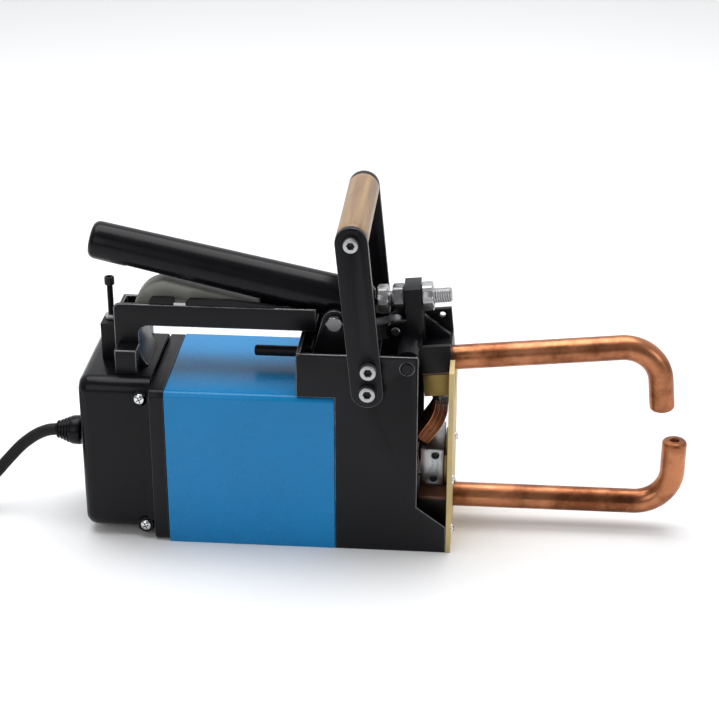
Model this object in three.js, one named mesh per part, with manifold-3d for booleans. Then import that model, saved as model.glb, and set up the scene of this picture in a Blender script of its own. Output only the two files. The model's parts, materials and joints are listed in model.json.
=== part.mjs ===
// Portable spot welder: a blue-covered transformer body with a steel tower at its front, a squeeze
// lever over a fixed handle, a rocker that carries the upper electrode arm, and a carrying handle.
// Millimetres, +X to the electrodes, +Z up, -Y the near side. The origin is on the underside of the
// bottom plate, in the middle of the casing.
import * as THREE from 'three';
import { mergeVertices } from 'three/addons/utils/BufferGeometryUtils.js';
import Module from 'manifold-3d';

const wasm = await Module();
wasm.setup();

// Driving dimensions
const GAP = 0.3; // between pieces that touch
const CUT = 1; // how far a cutting tool runs past the face that it cuts
const HALF_WIDTH = 46; // casing, outside
const TOP = 108; // casing, upper face
const SHEET = 2.5; // steel sheet
const COVER_REAR = -138.5;
const COVER_FRONT = -92;
const BLUE_REAR = -82;
const BLUE_FRONT = 26;
const TOWER_REAR = 2;
const TOWER_FRONT = 78;
const TOWER_TOP = 138;
const BOARD_REAR = 97; // insulating board at the front
const BOARD = 3;
const ARM_RADIUS = 8;
const BEND_RADIUS = 24;
const LOWER_ARM_Z = 18;
const LOWER_LEG_X = 242;
const LOWER_TIP_Z = 64;
const UPPER_LEG = 45; // from the upper arm's axis down to its tip
const LEVER_PIVOT = { x: 24, z: 149 };
const ROCKER_PIVOT = { x: 71, z: 130 };
const LINK_REAR = { x: 25, z: 128.5 }; // link pin on the lever
const LINK_FRONT = { x: 61.5, z: 138.8 }; // link pin on the rocker
const LEVER_REST = THREE.MathUtils.degToRad(12.4); // rear end raised
const ROCKER_REST = THREE.MathUtils.degToRad(-5.8); // arm raised
const GRIP = { x: 36.9, z: 214 };
const GRIP_RADIUS = 10;
const ARM_SCREWS = [{ x: 47.5, z: 131 }, { x: 47, z: 116 }];
const BEAM_TOP = 155;
const BEAM_BOTTOM = 140;
const BEAM_REAR = -117;
const CHEEK_INNER = 14.6; // fixed handle, inside half width
const CHEEK_OUTER = 17;
const STOP_X = -122;
const GLAND_Z = 55;
const CORD_RADIUS = 4;
const FLOOR_CLEAR = 0.3; // under whatever lies on the floor

// Materials
const material = (color, roughness, metalness) =>
  new THREE.MeshStandardMaterial({ color, roughness, metalness });
const BLUE = material(0x1787cf, 0.3, 0);
const BLACK = material(0x1b1b1e, 0.45, 0.3);
const MOULDED = material(0x141416, 0.35, 0);
const RUBBER = material(0x1d1d1e, 0.8, 0);
const COPPER = material(0xb87350, 0.35, 1);
const BRASS = material(0xb08d48, 0.4, 1);
const ZINC = material(0xbfc2c4, 0.35, 1);
const ALUMINIUM = material(0xa8abad, 0.4, 1);
const BOARD_TAN = material(0xd8c193, 0.6, 0);
const BAKELITE = material(0x6a3d22, 0.5, 0);
const WOOD = material(0xd9ab72, 0.55, 0);
const GREY = material(0x9c9c98, 0.5, 0);
const STEEL = material(0x77797c, 0.45, 0.9);

// Solids
const solid = (geometry) => {
  const bare = geometry.clone();
  bare.deleteAttribute('normal');
  bare.deleteAttribute('uv');
  const merged = mergeVertices(bare, 1e-4);
  return new wasm.Manifold(new wasm.Mesh({
    numProp: 3,
    vertProperties: new Float32Array(merged.attributes.position.array),
    triVerts: new Uint32Array(merged.index.array),
  }));
};

const surface = (manifold) => {
  const mesh = manifold.getMesh();
  const geometry = new THREE.BufferGeometry();
  geometry.setAttribute('position', new THREE.BufferAttribute(mesh.vertProperties, 3));
  geometry.setIndex(new THREE.BufferAttribute(mesh.triVerts, 1));
  return geometry;
};

const join = (...geometries) =>
  surface(geometries.map(solid).reduce((whole, piece) => whole.add(piece)));

const cut = (geometry, ...tools) =>
  surface(tools.map(solid).reduce((whole, tool) => whole.subtract(tool), solid(geometry)));

// Shapes
const box = (x0, x1, y0, y1, z0, z1) =>
  new THREE.BoxGeometry(x1 - x0, y1 - y0, z1 - z0)
    .translate((x0 + x1) / 2, (y0 + y1) / 2, (z0 + z1) / 2);

// A round bar between two values of the axis it lies along, through (a, b) of the other two.
const barX = (x0, x1, y, z, radius, sides = 16, endRadius = radius) =>
  new THREE.CylinderGeometry(endRadius, radius, x1 - x0, sides)
    .rotateZ(-Math.PI / 2).translate((x0 + x1) / 2, y, z);
const barY = (y0, y1, x, z, radius, sides = 16) =>
  new THREE.CylinderGeometry(radius, radius, y1 - y0, sides).translate(x, (y0 + y1) / 2, z);
const barZ = (z0, z1, x, y, radius, sides = 16, topRadius = radius) =>
  new THREE.CylinderGeometry(topRadius, radius, z1 - z0, sides)
    .rotateX(Math.PI / 2).translate(x, y, (z0 + z1) / 2);

// A flat outline drawn in x and z, as thick as y0 to y1.
const plateXZ = (shape, y0, y1, curveSegments = 8) =>
  new THREE.ExtrudeGeometry(shape, { depth: y1 - y0, bevelEnabled: false, curveSegments })
    .rotateX(Math.PI / 2).translate(0, y1, 0);

// A flat outline drawn in y and z, as long as x0 to x1.
const profileYZ = (shape, x0, x1, curveSegments = 4) =>
  new THREE.ExtrudeGeometry(shape, { depth: x1 - x0, bevelEnabled: false, curveSegments })
    .rotateX(Math.PI / 2).rotateZ(Math.PI / 2).translate(x0, 0, 0);

const outline = (...points) => new THREE.Shape(points.map(([a, b]) => new THREE.Vector2(a, b)));

const roundedRectangle = (a0, a1, b0, b1, radius) => {
  const shape = new THREE.Shape();
  shape.absarc(a1 - radius, b0 + radius, radius, -Math.PI / 2, 0);
  shape.absarc(a1 - radius, b1 - radius, radius, 0, Math.PI / 2);
  shape.absarc(a0 + radius, b1 - radius, radius, Math.PI / 2, Math.PI);
  shape.absarc(a0 + radius, b0 + radius, radius, Math.PI, 1.5 * Math.PI);
  return shape;
};

// A bar of flat metal with round ends centred on two points in x and z.
const strapXZ = (from, to, width, y0, y1) => {
  const angle = Math.atan2(to.z - from.z, to.x - from.x);
  const shape = new THREE.Shape();
  shape.absarc(from.x, from.z, width / 2, angle + Math.PI / 2, angle + 1.5 * Math.PI);
  shape.absarc(to.x, to.z, width / 2, angle - Math.PI / 2, angle + Math.PI / 2);
  return plateXZ(shape, y0, y1);
};

const circle = (radius, sides) =>
  new THREE.Shape(Array.from({ length: sides }, (_, i) => {
    const angle = (2 * Math.PI * i) / sides;
    return new THREE.Vector2(radius * Math.cos(angle), radius * Math.sin(angle));
  }));

const tube = (path, radius, sides, steps) =>
  new THREE.ExtrudeGeometry(circle(radius, sides), { extrudePath: path, steps, bevelEnabled: false });

// A bar that runs straight along x, turns through a quarter bend and ends in a straight leg.
class BentLine extends THREE.Curve {
  constructor(rear, legX, axisZ, tipZ) {
    super();
    Object.assign(this, { rear, legX, axisZ, tipZ });
  }

  getPoint(t) {
    const turn = Math.sign(this.tipZ - this.axisZ);
    const straight = this.legX - BEND_RADIUS - this.rear;
    const bend = (BEND_RADIUS * Math.PI) / 2;
    const leg = Math.abs(this.tipZ - this.axisZ) - BEND_RADIUS;
    const along = t * (straight + bend + leg);
    if (along <= straight) {
      return new THREE.Vector3(this.rear + along, 0, this.axisZ);
    }
    if (along <= straight + bend) {
      const angle = (along - straight) / BEND_RADIUS;
      return new THREE.Vector3(
        this.legX - BEND_RADIUS + BEND_RADIUS * Math.sin(angle),
        0,
        this.axisZ + turn * BEND_RADIUS * (1 - Math.cos(angle)),
      );
    }
    const up = BEND_RADIUS + along - straight - bend;
    return new THREE.Vector3(this.legX, 0, this.axisZ + turn * up);
  }
}

const part = (name, geometry, finish) => {
  const mesh = new THREE.Mesh(geometry, finish);
  mesh.name = name;
  return mesh;
};

const welder = new THREE.Group();

// Casing: bottom plate, blue cover, rear frame and moulded rear cover.
function casing() {
  const inner = HALF_WIDTH - SHEET - GAP;
  const cover = new THREE.Shape();
  const radius = 4;
  const wall = 2;
  cover.moveTo(-HALF_WIDTH, 0);
  cover.lineTo(-HALF_WIDTH + wall, 0);
  cover.lineTo(-HALF_WIDTH + wall, TOP - wall);
  cover.lineTo(HALF_WIDTH - wall, TOP - wall);
  cover.lineTo(HALF_WIDTH - wall, 0);
  cover.lineTo(HALF_WIDTH, 0);
  cover.absarc(HALF_WIDTH - radius, TOP - radius, radius, 0, Math.PI / 2);
  cover.absarc(-HALF_WIDTH + radius, TOP - radius, radius, Math.PI / 2, Math.PI);
  const frameHalf = HALF_WIDTH - 0.5;
  const wiringHalf = 32;
  const frame = cut(
    profileYZ(roundedRectangle(-frameHalf, frameHalf, 0, TOP, 5), COVER_FRONT + GAP, BLUE_REAR - GAP),
    box(COVER_FRONT - CUT, BLUE_REAR + CUT, -wiringHalf, wiringHalf, 18, 92),
  );
  welder.add(
    part('bottom_plate', box(BLUE_REAR, BOARD_REAR - GAP, -inner, inner, 0, 3), BLACK),
    part('blue_cover', profileYZ(cover, BLUE_REAR, BLUE_FRONT - GAP), BLUE),
    part('rear_frame', frame, BLACK),
    part('rear_cover', rearCover(), MOULDED),
  );
}

// The rear cover is a deep tray with round corners, open to the front, with a hole for the gland.
function rearCover() {
  const half = 41;
  const low = 4;
  const high = 112;
  const edge = 7;
  const corner = 3;
  const wall = 3;
  const tray = (inset) => {
    const shape = roundedRectangle(
      -half + edge + inset, half - edge - inset, low + edge + inset, high - edge - inset, corner);
    const depth = COVER_FRONT - COVER_REAR;
    return new THREE.ExtrudeGeometry(shape, {
      depth,
      bevelThickness: edge,
      bevelSize: edge,
      bevelSegments: 3,
      curveSegments: 4,
    }).rotateX(Math.PI / 2).rotateZ(Math.PI / 2).translate(COVER_REAR + edge + inset, 0, 0);
  };
  const front = box(COVER_FRONT, 0, -HALF_WIDTH, HALF_WIDTH, 0, 2 * TOP);
  const hole = barX(COVER_REAR - CUT, COVER_REAR + 2 * wall, 0, GLAND_Z, 7);
  return cut(cut(tray(0), front), tray(wall), hole);
}

// Tower: two side plates, a deck bent up into a rear wall, and the pivot bracket for the lever.
function tower() {
  const footHeight = 18.5;
  const slopeTop = 32.5;
  const side = outline(
    [BLUE_FRONT, 0],
    [BOARD_REAR - GAP, 0],
    [BOARD_REAR - GAP, footHeight],
    [TOWER_FRONT, slopeTop],
    [TOWER_FRONT, TOWER_TOP - 1],
    [TOWER_FRONT - 1, TOWER_TOP],
    [TOWER_REAR + 3, TOWER_TOP],
    [TOWER_REAR, TOWER_TOP - 2],
    [TOWER_REAR, TOP + GAP],
    [BLUE_FRONT, TOP + GAP],
  );
  const pinHole = 4.3;
  const screwHole = 3.3;
  const sidePlate = (y0, y1) => cut(
    plateXZ(side, y0, y1),
    barY(y0 - CUT, y1 + CUT, ROCKER_PIVOT.x, ROCKER_PIVOT.z, pinHole),
    ...ARM_SCREWS.map(({ x, z }) => barY(y0 - CUT, y1 + CUT, x, z, screwHole)),
  );
  const inner = HALF_WIDTH - SHEET - GAP;
  const deckLow = TOP + GAP;
  const deckHigh = deckLow + SHEET;
  const wallFront = TOWER_REAR + SHEET;
  const deckFront = 50;
  const rodHole = barX(TOWER_REAR - CUT, wallFront + CUT, 0, 118, 3.8);
  welder.add(
    part('side_plate_near', sidePlate(-HALF_WIDTH, -HALF_WIDTH + SHEET), BLACK),
    part('side_plate_far', sidePlate(HALF_WIDTH - SHEET, HALF_WIDTH), BLACK),
    part('tower_deck', cut(join(
      box(TOWER_REAR, deckFront, -inner, inner, deckLow, deckHigh),
      box(TOWER_REAR, wallFront, -inner, inner, deckLow, TOWER_TOP - 1)), rodHole), BLACK),
    part('pivot_bracket', pivotBracket(deckHigh + GAP), BLACK),
    part('lever_pivot_pin', leverPivotPin(), STEEL),
    part('rocker_pivot_pin', barY(
      -HALF_WIDTH - 0.5, HALF_WIDTH + 0.5, ROCKER_PIVOT.x, ROCKER_PIVOT.z, 4, 20), BLACK),
    part('stub_rod', barX(-29.6, wallFront + 2, 0, 118, 3.5), RUBBER),
    part('return_spring', returnSpring(), STEEL),
  );
}

// Two triangular lugs stand on a base plate, and the lever turns between them.
const LUG_INNER = 18;
const LUG_OUTER = 22;
function pivotBracket(low) {
  const { x, z } = LEVER_PIVOT;
  const eye = 8;
  const lug = new THREE.Shape();
  lug.moveTo(x - 17, low);
  lug.lineTo(x + 15, low);
  lug.lineTo(x + 15, low + 5);
  lug.absarc(x, z, eye, THREE.MathUtils.degToRad(15), THREE.MathUtils.degToRad(160));
  lug.lineTo(x - 17, low + 5);
  const base = box(x - 17, x + 15, -LUG_OUTER, LUG_OUTER, low, low + 4);
  const lugs = [-1, 1].map((side) => {
    const [y0, y1] = [side * LUG_INNER, side * LUG_OUTER].sort((a, b) => a - b);
    return plateXZ(lug, y0, y1);
  });
  return cut(join(base, ...lugs), barY(-LUG_OUTER - CUT, LUG_OUTER + CUT, x, z, 4 + GAP));
}

function leverPivotPin() {
  const { x, z } = LEVER_PIVOT;
  const head = 5.5;
  const headLength = 3.4;
  const reach = LUG_OUTER + GAP;
  return join(
    barY(-reach - headLength, reach + headLength, x, z, 4, 20),
    barY(-reach - headLength, -reach, x, z, head, 20),
    barY(reach, reach + headLength, x, z, head, 20),
  );
}

// The torsion spring that lifts the lever, as the outer shape of its coil round the pivot pin.
function returnSpring() {
  const { x, z } = LEVER_PIVOT;
  const low = 14.5;
  const high = LUG_INNER - GAP;
  return cut(barY(low, high, x, z, 7), barY(low - CUT, high + CUT, x, z, 4.6));
}

// Front end: insulating board, shunt terminal, insulating shelf and the lower arm's clamp.
function frontEnd() {
  const armHole = ARM_RADIUS + 1;
  const earInner = -26; // the board is full height only beside the moving arm
  const earTop = 128;
  const boardTop = 97;
  const board = outline(
    [-HALF_WIDTH, 0], [HALF_WIDTH, 0], [HALF_WIDTH, boardTop], [earInner, boardTop],
    [earInner, earTop], [-HALF_WIDTH, earTop],
  );
  const boardSolid = cut(
    profileYZ(board, BOARD_REAR, BOARD_REAR + BOARD),
    barX(BOARD_REAR - CUT, BOARD_REAR + BOARD + CUT, 0, LOWER_ARM_Z, armHole),
  );
  const rear = 79;
  const blockHalf = 20;
  const clampTop = 31.7;
  const shelfTop = 34.5;
  const blockTop = 61;
  const blockFront = 94;
  const holeSide = [{ x: 88.5, z: 56.5 }, { x: 87.5, z: 39.5 }];
  const terminal = cut(
    box(rear, blockFront, -blockHalf, blockHalf, shelfTop + GAP, blockTop),
    ...holeSide.map(({ x, z }) => barY(-blockHalf - CUT, -blockHalf + 8, x, z, 2.5, 12)),
  );
  const clamp = cut(
    box(60, BOARD_REAR - GAP, -blockHalf, blockHalf, 3 + GAP, clampTop),
    barX(60 - CUT, BOARD_REAR + CUT, 0, LOWER_ARM_Z, ARM_RADIUS + GAP),
    box(60 - CUT, BOARD_REAR + CUT, -1.5, 1.5, LOWER_ARM_Z, clampTop + CUT),
  );
  welder.add(
    part('front_board', boardSolid, BOARD_TAN),
    part('shunt_terminal', terminal, ALUMINIUM),
    part('contact_strip', box(blockFront + GAP, BOARD_REAR - GAP, -blockHalf, blockHalf, 37, 57), BRASS),
    part('insulating_shelf', box(TOWER_FRONT + 0.5, BOARD_REAR - GAP, -34, 34, clampTop + GAP, shelfTop),
      BAKELITE),
    part('lower_clamp', clamp, STEEL),
    part('flexible_shunt', flexibleShunt(), COPPER),
    part('lower_arm', tube(
      new BentLine(74, LOWER_LEG_X, LOWER_ARM_Z, LOWER_TIP_Z), ARM_RADIUS, 16, 30), COPPER),
  );
}

// The laminated copper strip from the terminal up to the brass clamp, bowed to the front.
function flexibleShunt() {
  const half = 15;
  const path = new THREE.CatmullRomCurve3([
    new THREE.Vector3(79.5, 0, 64.2),
    new THREE.Vector3(82.5, 0, 68.5),
    new THREE.Vector3(88.5, 0, 78),
    new THREE.Vector3(91.3, 0, 86),
    new THREE.Vector3(91.6, 0, 91.5),
  ]);
  const points = path.getSpacedPoints(8);
  const halfThick = 4.4;
  const side = (sign) => points.map((p, i) => {
    const tangent = path.getTangentAt(i / 8);
    return [p.x + sign * halfThick * tangent.z, p.z - sign * halfThick * tangent.x];
  });
  return plateXZ(outline(...side(1), ...side(-1).reverse()), -half, half);
}

// Transformer inside the casing, and the relay in the rear cover.
function electrics() {
  const coreRear = -74;
  const coreFront = 16;
  const stack = 24;
  const limb = 15;
  const low = 8;
  const high = 100;
  const middle = 54;
  const core = cut(
    box(coreRear, coreFront, -stack, stack, low, high),
    box(coreRear + limb, coreFront - limb, -stack - CUT, stack + CUT, low + limb, middle - 10),
    box(coreRear + limb, coreFront - limb, -stack - CUT, stack + CUT, middle + 10, high - limb),
  );
  const coilRear = coreRear + limb + 1;
  const coilFront = -16;
  const slot = 10.6; // half the height of the hole round the core's middle limb
  const coil = cut(
    box(coilRear, coilFront, -40, 40, low + limb + 1, high - limb - 1),
    box(coilRear - CUT, coilFront + CUT, -stack - 0.6, stack + 0.6, middle - slot, middle + slot),
  );
  const leadFront = 78;
  const secondary = join(
    box(-12, -2, -38, 38, 26, 40),
    box(-12, -2, -38, -28, 26, 60),
    box(-12, -2, 28, 38, 26, 60),
    box(-2.5, 77, -38, -28, 46, 60),
    box(70, leadFront, -38, -8, 46, 60),
    box(-2.5, 58, 28, 38, 46, 60),
    box(48, 58, 28, 38, 8, 60),
    box(48, 59.5, -8, 38, 8, 28),
  );
  welder.add(
    part('transformer_core', core, STEEL),
    part('primary_coil', coil, COPPER),
    part('secondary_bar', secondary, COPPER),
    part('power_relay', box(-128, -100, -20, 20, 62, 100), GREY),
  );
}

// Fixed handle: a deep channel on a rear post, with its foot, pads, switch and lever stop.
function fixedHandle() {
  const front = 12;
  const postFront = -101;
  const footTop = 112 + GAP;
  const corner = 6;
  const side = new THREE.Shape();
  side.moveTo(BEAM_REAR, footTop);
  side.lineTo(postFront + 5, footTop);
  side.quadraticCurveTo(postFront, footTop + 6, postFront, footTop + 14);
  side.absarc(postFront + corner, BEAM_BOTTOM - corner, corner, Math.PI, Math.PI / 2, true);
  side.lineTo(front, BEAM_BOTTOM);
  side.lineTo(front, BEAM_TOP);
  side.lineTo(BEAM_REAR + corner, BEAM_TOP);
  side.absarc(BEAM_REAR + 4, BEAM_TOP - 4, 4, Math.PI / 2, Math.PI);
  const trough = new THREE.Shape([
    [BEAM_REAR + SHEET, BEAM_TOP + CUT],
    [BEAM_REAR + SHEET, footTop - CUT],
    [postFront - SHEET, footTop - CUT],
    [postFront - SHEET, BEAM_BOTTOM + SHEET],
    [front + CUT, BEAM_BOTTOM + SHEET],
    [front + CUT, BEAM_TOP + CUT],
  ].map(([x, z]) => new THREE.Vector2(x, z)));
  const tabFront = -92; // only the near cheek is full height behind this
  const tabLow = 147;
  const frame = cut(
    plateXZ(side, -CHEEK_OUTER, CHEEK_OUTER, 5),
    plateXZ(trough, -CHEEK_INNER, CHEEK_INNER),
    box(BEAM_REAR - CUT, tabFront, -CHEEK_INNER, CHEEK_OUTER + CUT, tabLow, BEAM_TOP + CUT),
  );
  const footSide = 30;
  const wing = (y0, y1) => box(-115, postFront, y0, y1, footTop, footTop + 16);
  welder.add(
    part('handle_frame', frame, BLACK),
    part('foot_lug_near', wing(-footSide, -CHEEK_OUTER - GAP), BLACK),
    part('foot_lug_far', wing(CHEEK_OUTER + GAP, footSide), BLACK),
    part('pad_rear', padOn(-94, -78, 159.5, 159.5), RUBBER),
    part('pad_front', padOn(-70, -14, 159, 155.9), RUBBER),
    part('switch_housing', switchHousing(), GREY),
    part('microswitch', microswitch(), MOULDED),
    part('stop_block', cut(
      box(STOP_X - 5.5, BEAM_REAR - GAP, -9, 9, footTop, 137),
      barZ(118, 137 + CUT, STOP_X, 0, 2.3, 12)), BLACK),
    part('stop_lock_nut', cut(
      barZ(137 + GAP, 140.5, STOP_X, 0, 4.05, 6), barZ(137, 141, STOP_X, 0, 2.3, 12)), ZINC),
  );
}

// A low strip along the near cheek's top edge, from rearTop high down to frontTop high.
function padOn(rear, front, rearTop, frontTop) {
  const low = BEAM_TOP + GAP;
  const shape = outline([rear, low], [front, low], [front, frontTop], [(rear + front) / 2, rearTop],
    [rear + 2, rearTop], [rear, rearTop - 2]);
  return plateXZ(shape, -CHEEK_OUTER, -12.6);
}

// The grey moulding inside the channel, which the hollow lever closes over.
function switchHousing() {
  const half = 7;
  const low = BEAM_BOTTOM + SHEET + GAP;
  const shape = new THREE.Shape();
  shape.moveTo(-105, low);
  shape.lineTo(-26, low);
  shape.lineTo(-26, 153);
  shape.lineTo(-86, 167.5);
  shape.quadraticCurveTo(-100, 166, -105, 152);
  return new THREE.ExtrudeGeometry(shape, { depth: 2 * half, bevelEnabled: false, curveSegments: 6 })
    .rotateX(Math.PI / 2).translate(0, half, 0);
}

// Switch under the lever's root, with a bore for its plunger.
const PLUNGER_X = 0;
const SWITCH_TOP = 146;
function microswitch() {
  return cut(
    box(-14, 6, -5, 5, BEAM_BOTTOM + SHEET + GAP, SWITCH_TOP),
    barZ(SWITCH_TOP - 2.6, SWITCH_TOP + CUT, PLUNGER_X, 0, 2.3, 12),
  );
}

// Carrying handle: two flat arms outside the tower and a round wooden grip between them.
function carryingHandle() {
  const thick = 4;
  const inside = HALF_WIDTH + GAP + 0.5;
  const hole = 3.3;
  const arm = (y0, y1) => cut(
    strapXZ({ x: 46.6, z: 115 }, GRIP, 20, y0, y1),
    barY(y0 - CUT, y1 + CUT, GRIP.x, GRIP.z, hole),
    ...ARM_SCREWS.map(({ x, z }) => barY(y0 - CUT, y1 + CUT, x, z, hole)),
  );
  const gripHalf = inside - GAP;
  const screw = (side, { x, z }) => {
    const tip = HALF_WIDTH - SHEET - 2;
    const seat = inside + thick + GAP;
    const span = (a, b) => [side * a, side * b].sort((p, q) => p - q);
    return join(
      barY(...span(tip, seat + 1), x, z, 3, 12),
      barY(...span(seat, seat + 5), x, z, 5, 16),
    );
  };
  welder.add(
    part('carry_arm_near', arm(-inside - thick, -inside), BLACK),
    part('carry_arm_far', arm(inside, inside + thick), BLACK),
    part('wood_grip', barY(-gripHalf, gripHalf, GRIP.x, GRIP.z, GRIP_RADIUS, 24), WOOD),
  );
  ARM_SCREWS.forEach((place, i) => {
    welder.add(
      part(`arm_screw_near_${i + 1}`, screw(-1, place), ZINC),
      part(`arm_screw_far_${i + 1}`, screw(1, place), ZINC),
    );
  });
}

// Pieces that turn: each group's origin is its pivot, and its rotation is its angle at rest.
const pivoted = ({ x, z }, angle) => {
  const group = new THREE.Group();
  group.position.set(x, 0, z);
  group.rotation.y = angle;
  welder.add(group);
  return group;
};

const local = (point, pivot, angle) => {
  const dx = point.x - pivot.x;
  const dz = point.z - pivot.z;
  return {
    x: dx * Math.cos(angle) - dz * Math.sin(angle),
    z: dx * Math.sin(angle) + dz * Math.cos(angle),
  };
};

// Squeeze lever: a tapering round shell, open underneath over the switch housing.
function lever() {
  const rear = -162;
  const nose = 22;
  const axisZ = 8.4;
  const rearRadius = 12.1;
  const frontRadius = 14;
  const rounding = 5;
  const radiusAt = (x) => rearRadius + ((x - rear) / (nose - rear)) * (frontRadius - rearRadius);
  const profile = [
    [0, rear],
    [rearRadius - rounding, rear],
    [radiusAt(rear + 1.5) - 1.5, rear + 1.5],
    [radiusAt(rear + rounding), rear + rounding],
    [radiusAt(8), 8],
    [frontRadius - 4, nose - 1.5],
    [frontRadius - 9, nose],
    [0, nose],
  ];
  const shell = new THREE.LatheGeometry(profile.map(([r, x]) => new THREE.Vector2(r, x)), 24)
    .rotateZ(-Math.PI / 2).translate(0, 0, axisZ);
  const pin = local(LINK_REAR, LEVER_PIVOT, LEVER_REST);
  const cheek = (y0, y1) => join(
    strapXZ({ x: 0, z: 0 }, pin, 14, y0, y1),
    box(-9, 9, y0, y1, -4, axisZ),
  );
  const body = cut(
    join(shell, cheek(-10, -6), cheek(6, 10)),
    box(-138, -30, -8.5, 8.5, axisZ - 20, axisZ + 5),
    barY(-20, 20, 0, 0, 4 + GAP, 20),
    barY(-20, 20, pin.x, pin.z, 3 + GAP, 12),
  );
  pivoted(LEVER_PIVOT, LEVER_REST).add(
    part('lever', body, BLACK),
    part('link_pin_rear', barY(-11, 11, pin.x, pin.z, 3, 12), STEEL),
  );
}

// The link that pushes the rocker's bar forward when the lever is squeezed.
function pushLink() {
  const half = 5.4;
  const body = cut(
    strapXZ(LINK_REAR, LINK_FRONT, 11, -half, half),
    barY(-half - CUT, half + CUT, LINK_REAR.x, LINK_REAR.z, 3 + GAP, 16),
    barY(-half - CUT, half + CUT, LINK_FRONT.x, LINK_FRONT.z, 3 + 3 * GAP, 16),
  );
  welder.add(part('push_link', body, STEEL));
}

// Rocker: boss, upright bar, clevis and the holder that clamps the upper arm.
const ROCKER_ARM_Z = -15;
const HOLDER = { rear: 7, front: 26, half: 22 };
function rocker() {
  const group = pivoted(ROCKER_PIVOT, ROCKER_REST);
  const pin = local(LINK_FRONT, ROCKER_PIVOT, ROCKER_REST);
  const boltZ = 28.5;
  const ear = (y0, y1) => strapXZ({ x: 2, z: pin.z }, pin, 12, y0, y1);
  const gusset = outline([9, -4.5], [24.5, -4.5], [24.5, -2], [9.5, 12.5], [9, 12.5]);
  const { rear, front, half } = HOLDER;
  const grooveRadius = ARM_RADIUS + 2;
  const channelTop = 3;
  const boltPlaces = [-15.5, 15.5];
  const boltX = (rear + front) / 2;
  const along = (radius) => barX(rear - CUT, front + CUT, 0, ROCKER_ARM_Z, radius, 20);
  const frame = cut(
    join(
      barY(-36, 36, 0, 0, 7.5, 20),
      box(-1, 9.5, -10, 10, 0, 37.5),
      ear(-10, -6),
      ear(6, 10),
      box(rear, front, -half, half, ROCKER_ARM_Z + GAP, -4),
      box(rear, front, -half, -half + 3.5, ROCKER_ARM_Z + GAP, channelTop),
      box(rear, front, half - 3.5, half, ROCKER_ARM_Z + GAP, channelTop + 8),
      box(0, rear + 1, -half, half, -5, 5),
      plateXZ(gusset, 6.5, 10),
    ),
    barY(-40, 40, 0, 0, 4 + GAP, 20),
    barX(-10, 12, 0, boltZ, 5 + GAP, 20),
    barY(-12, 12, pin.x, pin.z, 3 + GAP, 12),
    along(grooveRadius),
    barY(half - 5, half + CUT, front - 6, channelTop + 4, 2, 12),
    ...boltPlaces.map((y) => barZ(ROCKER_ARM_Z - CUT, -3, boltX, y, 3 + GAP, 12)),
  );
  const sheetLow = ROCKER_ARM_Z - 1.1;
  const sheetHigh = ROCKER_ARM_Z;
  const liner = cut(
    join(
      box(rear, front, -half, half, sheetLow, sheetHigh),
      cut(along(grooveRadius - GAP), box(rear - 2, front + 2, -half, half, -half * 2, sheetLow)),
    ),
    box(rear - 2 * CUT, rear, -half, half, -half * 2, half),
    box(front, front + 2 * CUT, -half, half, -half * 2, half),
    along(ARM_RADIUS + GAP),
    box(rear - CUT, front + CUT, -ARM_RADIUS - GAP, ARM_RADIUS + GAP, sheetLow - CUT, ROCKER_ARM_Z),
    ...boltPlaces.map((y) => barZ(sheetLow - CUT, sheetHigh + CUT, boltX, y, 3 + GAP, 12)),
  );
  const brassLow = -31;
  const brass = cut(
    box(rear, front, -half, half, brassLow, sheetLow - GAP),
    along(ARM_RADIUS + GAP),
    ...boltPlaces.map((y) => barZ(brassLow - CUT, ROCKER_ARM_Z, boltX, y, 3 + GAP, 12)),
  );
  const bolt = (y) => join(
    barZ(brassLow - 1, -5, boltX, y, 3, 12),
    barZ(brassLow - GAP - 4, brassLow - GAP, boltX, y, 5.7, 6),
  );
  group.add(
    part('rocker_frame', frame, BLACK),
    part('clamp_liner', liner, BAKELITE),
    part('brass_clamp', brass, BRASS),
    part('clamp_bolt_near', bolt(boltPlaces[0]), STEEL),
    part('clamp_bolt_far', bolt(boltPlaces[1]), STEEL),
    part('link_pin_front', barY(-11, 11, pin.x, pin.z, 3, 12), STEEL),
    part('upper_arm', tube(
      new BentLine(6, 156.2, ROCKER_ARM_Z, ROCKER_ARM_Z - UPPER_LEG), ARM_RADIUS, 16, 30), COPPER),
    part('adjusting_bolt', join(
      barX(-18, 28.5, 0, boltZ, 5, 20), barX(-18, -11.5, 0, boltZ, 9.8, 6)), ZINC),
    part('adjusting_nut_rear', nut(-8.5, -1 - GAP, boltZ), STEEL),
    part('adjusting_nut_front', nut(9.5 + GAP, 17, boltZ), ZINC),
  );
}

function nut(x0, x1, z) {
  return cut(barX(x0, x1, 0, z, 9.8, 6), barX(x0 - CUT, x1 + CUT, 0, z, 5 + GAP, 20));
}

// Small pieces that slide: the lever's stop screw and the switch plunger.
function slides() {
  const headTop = 166;
  welder.add(
    part('stop_screw', join(
      barZ(128.5, headTop - 1, STOP_X, 0, 2, 12),
      barZ(headTop - 5, headTop, STOP_X, 0, 3.2, 16)), BLACK),
    part('switch_plunger', barZ(SWITCH_TOP - 0.5, 148.4, PLUNGER_X, 0, 2, 12), RUBBER),
  );
}

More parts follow.
